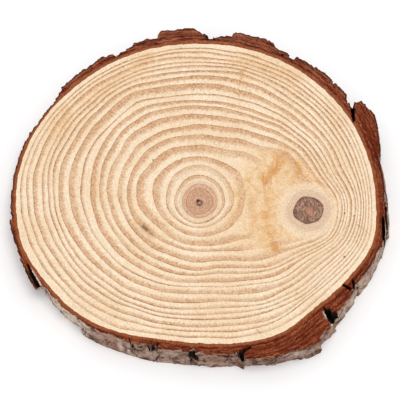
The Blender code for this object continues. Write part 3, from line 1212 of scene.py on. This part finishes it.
    def material(self, grain: bpy.types.NodeTree) -> bpy.types.Material:
        """Builds the procedural material.

        Args:
            grain: the saw's grain.

        Returns:
            The material.
        """
        material, tree, shader = start_material("pine_bark")
        graph = Graph(tree)
        place = graph.place_mm()
        shade, grain_height = self.surface.grained(graph, grain, place)
        colour, layers = self.cut_face(graph, place)
        skin, relief = self.outer_skin(graph, place)
        on_skin = graph.step(graph.attribute("skin"), 0.35, 0.65)
        # Painted shade in the grooves between the scales.
        groove = graph.times(graph.attribute("groove"), 0.8)
        # Painted shade: dark in the cracks and gaps.
        crack_shade = graph.step(graph.attribute(Tint.DARK.value), 0.15, 0.6)
        # The pale attribute lays cream on the skin and painted highlights on the cut face.
        colour = graph.over(
            colour, (graph.attribute(Tint.PALE.value), self.cream), (on_skin, skin), (groove, self.rim),
            (crack_shade, self.crack_shade),
        )
        height = graph.plus(grain_height, layers, graph.times(relief, on_skin))
        self.surface.dress(graph, shader, graph.scale(colour, shade), height, on_skin)
        return material


@dataclass(frozen=True)
class BarkRing:
    """The bark: a closed ring lofted round the wood, with cracks sunk into it and scales on its side."""

    trunk: Trunk
    box: tuple[Vector, Vector]
    first_plate: float = 16.0
    plates: tuple[Plate, ...] = several(Plate, (
        (29, 3.6, 6.8, -0.2), (35.2, 6.9, 6.1, -1.5), (36.8, 4.6, 3.9, -1), (39, 2.2, 3.5, -0.3),
        (44.6, 3.9, 4, 0.2), (46, 2.9, 2.9, 0), (52.6, 4.2, 4.2, -0.4), (59.2, 3.6, 3.5, 0.3),
        (61.2, 2.3, 2.4, 0.2), (66.3, 3, 3.4, 0.4), (67.3, 3.5, 4.6, -0.1), (79.2, 4.7, 4.95, -0.6),
        (79.9, 4.9, 4.3, -0.4), (84.1, 3.4, 2.7, 0.2), (85.4, 2.6, 2.2, 0.1), (85.9, 2.3, 3, 0),
        (87.2, 3.1, 2.9, 0), (87.8, 2.9, 3.6, 0.1), (89.1, 3.65, 3.35, 0.2), (89.7, 3.5, 4.1, -0.1),
        (91.3, 4.1, 4.9, -0.3), (91.8, 5, 5.5, -0.4), (101.6, 5.55, 5, -0.6), (102.8, 4.9, 3.9, -0.3),
        (105.2, 3.1, 3.2, 0.1), (110.4, 3.5, 3.4, 0.3), (113.2, 2.9, 2.3, 0.5), (117.2, 2.1, 1.8, 0.4),
        (120.2, 2.7, 2.8, 0.2), (137.2, 3, 2.7, 0.3), (141.4, 2.3, 1.2, 0.3), (152, 0.9, 0.9, 0.5),
        (180, 1.1, 1.45, 0.4), (185.4, 1.5, 1.35, 0.4), (189.6, 2.2, 1.9, -0.3), (194, 1.8, 1.5, -0.1),
        (203, 1.5, 2.6, 0), (210.2, 2.7, 3.3, -2.3, 0.26, 0.18), (226, 1.2, 1, 0.1), (240, 1.2, 1.4, 1.2),
        (247, 1.6, 2, 1.1), (253.2, 2.2, 2.5, 1.3), (255, 1.5, 1.6, 2.3), (266.4, 2.6, 2.5, 1.15),
        (268.6, 1.9, 2, 1.5), (283.2, 2.9, 2.6, 0.8), (285.2, 2.2, 3.4, 1.4), (300, 4.7, 6.2, -0.9),
        (302, 6.2, 6.7, -0.7), (304, 6.7, 7.1, -0.3), (308.6, 7.1, 8.2, 0.2), (314.8, 7, 6.7, -0.2),
        (317.6, 5.2, 4.6, 0.5), (327.4, 4.9, 3.7, 0.2), (331.2, 3, 2.8, 0.3), (345, 2.8, 2.1, 0.5),
        (352, 2.7, 3, 0.2), (359, 3, 3, 0.5), (376, 2.5, 2.8, 1),
    ))
    cracks: tuple[Crack, ...] = several(Crack, (
        ((38.2, 55), (30.5, 50.5), 1.4, 5), ((86.6, 54.4), (86.4, 52.9), 1.4, 3.5, 0.9),
        ((117.4, 54.6), (117, 52.5), 0.7, 4), ((210.8, 50.4), (201.6, 50.3), 1, 1.3, 0.4),
        ((247.2, 46.4), (244.9, 44.4), 0.5, 3), ((254.2, 46), (251.5, 44.2), 0.5, 3),
        ((254.5, 46.2), (255.3, 42.9), 0.7, 3), ((266.4, 46.8), (268, 43.6), 1.3, 6, 0.5),
        ((268.8, 45.8), (266.8, 44.4), 0.6, 4), ((281.6, 46.3), (287.6, 44.9), 1.3, 5, 0.3),
        ((283, 48.6), (283.6, 46), 0.6, 3), ((316, 49.8), (316.8, 46.9), 1.9, 5, 0.7),
        ((316.6, 48), (316.9, 45.9), 0.6, 4, 0.6), ((319, 49.6), (316.6, 48.1), 0.7, 4, 0.6),
        ((314.6, 52.6), (315.9, 49.6), 0.9, 6, 0.7), ((330.8, 51.5), (330, 49.4), 0.7, 3.5),
        ((327.7, 47.4), (327.8, 46.1), 0.8, 2, 0.8), ((328.9, 49), (331, 47.5), 0.55, 2, 0.7),
        ((348.8, 51.6), (355.2, 50.8), 0.8, 6, 0.5), ((352, 52.2), (358.5, 51.4), 0.6, 5, 0.5),
    ))
    strokes: tuple[Stroke, ...] = several(Stroke, (
        # Painted highlights along the edges of cracks and of the flake's gap.
        ((315.8, 46.8), (314.9, 48.6), 0.45), ((315, 50), (314, 51.8), 0.5),
        ((349, 52), (357, 51.9), 0.4, 0.7), ((203.4, 49.9), (214, 49.6), 0.3),
    ), Tint.PALE) + several(Stroke, (
        # Painted shade: dark in cracks, along the flake's gap and over the flake's outer strip.
        ((63.1, 52.7), (63.2, 52.9), 0.6), ((202, 50.4), (205, 50.5), 0.4), ((205, 50.5), (210.8, 50.4), 0.8),
        ((203, 51.5), (210.4, 51.3), 1.2, 0.42), ((85.7, 53.2), (87.2, 53.1), 1.3),
        ((287.6, 44.9), (292, 44.9), 0.3, 0.5), ((317.6, 47.6), (317.4, 50), 1.8, 0.3),
    ), Tint.DARK)
    side_marks: tuple[SideMark, ...] = several(SideMark, (
        (242, 4.5, 1, 6, 0.9), (245, 3.5, 0.9, 5, 0.8), (213.5, 5, 7, 14), (221, 5, 12, 14),
        (228, 6, 6, 8, 0.8), (300, 6, 7, 2.2, 0.55), (328, 4.5, 20, 9, 0.5), (345, 4.5, 14, 9, 0.5),
        (304, 3.5, 5, 4, 0.35), (257, 4, 16, 9, 0.22), (272, 3, 8, 6, 0.12),
    ), Tint.PALE) + several(SideMark, (
        # Painted shade in narrow cracks down the side; the first mark darkens the flake's outer face.
        (206.5, 8.3, 7, 2.4, 0.42), (267, 7, 1.8, 3.6, 0.9, 0.6), (268.1, 5.2, 2, 2.8, 0.9, -0.5),
        (266.7, 3.4, 0.9, 2.2, 0.7, 0.8), (253.5, 6.5, 0.9, 2.5, 0.8), (246.5, 6.5, 0.8, 2.5, 0.8),
        (354, 6.5, 5, 0.8, 0.8), (278, 7, 4.5, 0.6, 0.9, -0.5), (282, 6.2, 4, 0.5, 0.8, -0.2),
        (296, 5.2, 3.4, 0.7, 0.8, 0.5), (298.5, 5.8, 2.4, 0.6, 0.8, 0.6), (249.5, 7.2, 2, 0.5, 0.8, 0.8),
        (272, 2, 2.6, 0.5, 0.6, 0.4),
    ), Tint.DARK)
    columns: int = 1600
    top_rows: int = 26
    side_rows: int = 24
    bottom_rows: int = 5
    thinnest_mm: float = 0.7
    crack_floor_mm: float = 0.9
    scale_mm: tuple[float, float, float] = (8.0, 8.0, 10.0)
    crest_mm: float = 1.4
    groove_mm: float = 0.45

    def thickness(self, angles: Array, share: Array) -> Array:
        """Plate thickness: straight from a plate's first value to its last, plus its flare times the share.

        Args:
            angles: degrees.
            share: 0 at the upper face, 1 at the lower.

        Returns:
            Thickness beyond the wood in mm.
        """
        ends, first, last, flare, deep, hold = np.array([astuple(plate) for plate in self.plates]).T
        starts = np.concatenate([[self.first_plate], ends[:-1]])
        turned = np.mod(angles - self.first_plate, 360.0) + self.first_plate
        index = np.clip(np.searchsorted(ends, turned), 0, len(ends) - 1)
        along = (turned - starts[index]) / (ends[index] - starts[index])
        flared = np.clip((share - hold[index]) / (deep[index] - hold[index]), 0.0, 1.0) * flare[index]
        return first[index] + along * (last[index] - first[index]) + flared

    def build(self, grain: bpy.types.NodeTree) -> bpy.types.Object:
        """Builds and dresses the ring.

        Its section runs out over the upper face, down the outer side, back under the lower face and up the
        wall next to the wood. The outer radius is the wood's, plus the plate's thickness read at a wandering
        angle, plus the scales' steps, less the grooves between them.

        Args:
            grain: the saw's grain.

        Returns:
            The finished piece.
        """
        angles = (np.arange(self.columns) * 360.0 / self.columns)[None, :]
        thick = self.trunk.thickness_mm
        wood = self.trunk.wood_radius(angles[0])[None, :] + self.trunk.seam_mm
        ring = rolled(angles)

        over = np.linspace(0.0, 1.0, self.top_rows)[:, None] ** 0.85
        jag = 0.22 * lattice_noise(ring, 21) + 0.20 * lattice_noise(ring * 2.1, 26)
        edge = np.maximum(self.thickness(angles, 0.0) + jag, self.thinnest_mm)
        top_layer = over * edge
        x, y = around(angles, wood + top_layer)
        sunk = np.max([crack.sink(x, y) for crack in self.cracks], axis=0)
        sunk = np.minimum(sunk, thick - self.crack_floor_mm)
        worn = 0.10 * lattice_noise(stacked(x, y, 0.0) * 1.4, 22)
        worn = np.clip(worn + 0.30 * smooth_step(0.45, 0.0, edge - top_layer), 0.0, None)
        top_height = thick - sunk - worn * smooth_step(0.0, 0.5, top_layer)

        down = np.linspace(0.0, 1.0, self.side_rows + 1)[1:, None]
        side_height = top_height[-1:] * (1.0 - down)
        share = 1.0 - side_height / thick
        wander = 2.2 * share * lattice_noise(ring * 0.09, 23)
        side = rolled(angles, side_height)
        warp = np.stack([lattice_noise(side * 0.35, seed) for seed in (41, 42, 43)], axis=-1)
        border, tone = scales((side + 1.6 * warp) / self.scale_mm, 24)
        crest = smooth_step(0.0, self.crest_mm, thick - side_height)
        open_border = smooth_step(-0.1, 0.45, lattice_noise(side * 0.3, 44))
        groove = smooth_step(0.07, 0.01, border) * crest * open_border
        relief = (0.5 * tone - 0.25 + 0.12 * lattice_noise(side * 0.7, 25)) * crest - self.groove_mm * groove
        side_layer = self.thickness(angles + wander, share) + relief + jag * (1.0 - crest)
        side_layer = np.maximum(side_layer, self.thinnest_mm)
        bottom_layer = np.linspace(1.0, 0.0, self.bottom_rows + 1)[1:, None] * side_layer[-1:]

        layer = np.concatenate([top_layer, side_layer, bottom_layer, np.zeros_like(wood)])
        under, wall = np.zeros_like(bottom_layer), np.full_like(wood, thick / 2)
        height = np.concatenate([top_height, side_height, under, wall])
        low, high = (np.array(corner) for corner in self.box)
        points = np.clip(self.trunk.place(angles, wood + layer, height), low, high)
        mesh = grid_mesh("bark_ring", points, closed_section=True)

        def section(name: str, top: Array, side: Array, bottom: Array = 0.0) -> None:
            """Stores an attribute over the section.

            Args:
                name: name of the attribute.
                top: its values over the upper face.
                side: its values down the side.
                bottom: its values under the lower face and up the wall.
            """
            stretches = ((top, top_layer), (side, side_layer), (bottom, bottom_layer), (bottom, wood))
            values = [np.broadcast_to(value, like.shape) for value, like in stretches]
            give(mesh, name, np.concatenate(values))

        front = smooth_step(0.25, 0.7, -np.sin(np.radians(angles)))
        fringe = 0.5 * lattice_noise(ring * 0.6, 27) + 0.2 * lattice_noise(ring * 1.8, 28) + 0.5 * front - 0.7
        skin_top = smooth_step(0.2, 0.0, edge - top_layer - fringe)
        skin_side = smooth_step(0.0, 0.5, thick - side_height + fringe)
        # Painted shade: dark in the cracks, deeper where they sink further, and along the flake's gap.
        crack_shade_top = np.maximum(painted(self.strokes, Tint.DARK, x, y), smooth_step(0.3, 1.4, sunk))
        # Painted highlights along the edges of cracks and of the flake's gap.
        painted_highlight_top = painted(self.strokes, Tint.PALE, x, y)
        give(mesh, "sheet", rolled(angles, layer))
        # The rim attribute places the painted shade along the rim, kept lighter at the front.
        section("rim", edge - top_layer + 0.6 * front, 0.4 * front, side_layer[-1:] - 2.5)
        section("skin", skin_top, skin_side)
        section("tone", 0.0, tone)
        # The groove attribute places painted shade in the grooves between the scales.
        section("groove", 0.0, groove)
        # The dark attribute is painted shade in cracks and gaps, on the cut face and down the side.
        section(Tint.DARK.value, crack_shade_top, painted(self.side_marks, Tint.DARK, angles, side_height))
        # Painted highlights on the cut face; cream patches down the side.
        section(Tint.PALE.value, painted_highlight_top, painted(self.side_marks, Tint.PALE, angles, side_height))
        mesh.materials.append(BarkFinish().material(grain))
        return make_piece("bark_ring", mesh, "bark")


# The studio


@dataclass(frozen=True)
class Studio:
    """A pale floor, even white light with a wide soft lamp overhead, and a camera above the front."""

    target_mm: tuple[float, float, float] = (-0.21, -1.48, 4.5)
    distance: float = 0.55
    elevation: float = 64.0
    lens: float = 177.25
    drop_mm: float = 0.56
    floor_colour: Colour = (0.95, 0.95, 0.955)
    floor_reach: float = 3.0
    floor_drop_mm: float = 0.02
    sky: float = 0.86
    lamp_watts: float = 3.4
    lamp_size: float = 0.5
    lamp_place: tuple[float, float, float] = (0.09, -0.11, 1.0)

    def camera(self) -> None:
        """Aims the camera along +Y and down, and moves it down a little so that the slice sits as framed."""
        tilt = math.radians(self.elevation)
        upwards = Vector((0.0, math.sin(tilt), math.cos(tilt)))
        aim = (Vector(self.target_mm) - upwards * self.drop_mm) * MM
        data = bpy.data.cameras.new("camera")
        data.lens = self.lens
        data.sensor_width = 36.0
        data.clip_start, data.clip_end = 0.01, 20.0
        camera = put("camera", data)
        camera.location = aim + Vector((0.0, -math.cos(tilt), math.sin(tilt))) * self.distance
        camera.rotation_euler = (math.radians(90.0 - self.elevation), 0.0, 0.0)
        bpy.context.scene.camera = camera

    def floor(self) -> None:
        """Lays a large plain sheet just under the slice."""
        corners = np.array([(-1, -1, 0), (1, -1, 0), (1, 1, 0), (-1, 1, 0)]) * self.floor_reach
        corners[:, 2] = -self.floor_drop_mm * MM
        mesh = bpy.data.meshes.new("floor")
        mesh.from_pydata(corners.tolist(), [], [(0, 1, 2, 3)])
        material, _, shader = start_material("pale_floor")
        shader.inputs["Base Color"].default_value = (*self.floor_colour, 1.0)
        shader.inputs["Roughness"].default_value = 0.9
        shader.inputs["Specular IOR Level"].default_value = 0.0
        mesh.materials.append(material)
        sheet = put("floor", mesh)
        sheet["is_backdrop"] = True

    def lights(self) -> None:
        """Fills the room with even white light and adds one wide soft lamp."""
        world = bpy.data.worlds.new("studio")
        world.use_nodes = True
        sky = world.node_tree.nodes["Background"]
        sky.inputs["Color"].default_value = (1.0, 1.0, 1.0, 1.0)
        sky.inputs["Strength"].default_value = self.sky
        bpy.context.scene.world = world
        data = bpy.data.lights.new("lamp", "AREA")
        data.shape = "DISK"
        data.size = self.lamp_size
        data.energy = self.lamp_watts
        lamp = put("lamp", data)
        lamp.location = self.lamp_place
        lamp.rotation_euler = (-Vector(self.lamp_place)).to_track_quat("-Z", "Y").to_euler()

    def build(self) -> None:
        """Sets up the camera, the floor and the lights, with colours shown as they are."""
        self.camera()
        self.floor()
        self.lights()
        bpy.context.scene.view_settings.view_transform = "Standard"


def write_sizes() -> None:
    boxes = {"cad": CAD_BOX, "visual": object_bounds()}
    {name: [list(corner) for corner in box] for name, box in boxes.items()}


def main() -> None:
    """Builds the studio, the wood and the bark."""
    logging.basicConfig(level=logging.INFO, format="%(name)s %(message)s")
    Studio().build()
    trunk = Trunk()
    grain = cut_grain()
    WoodDisc(trunk).build(grain)
    BarkRing(trunk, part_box("bark")).build(grain)
    write_sizes()


if __name__ == "__main__":
    main()
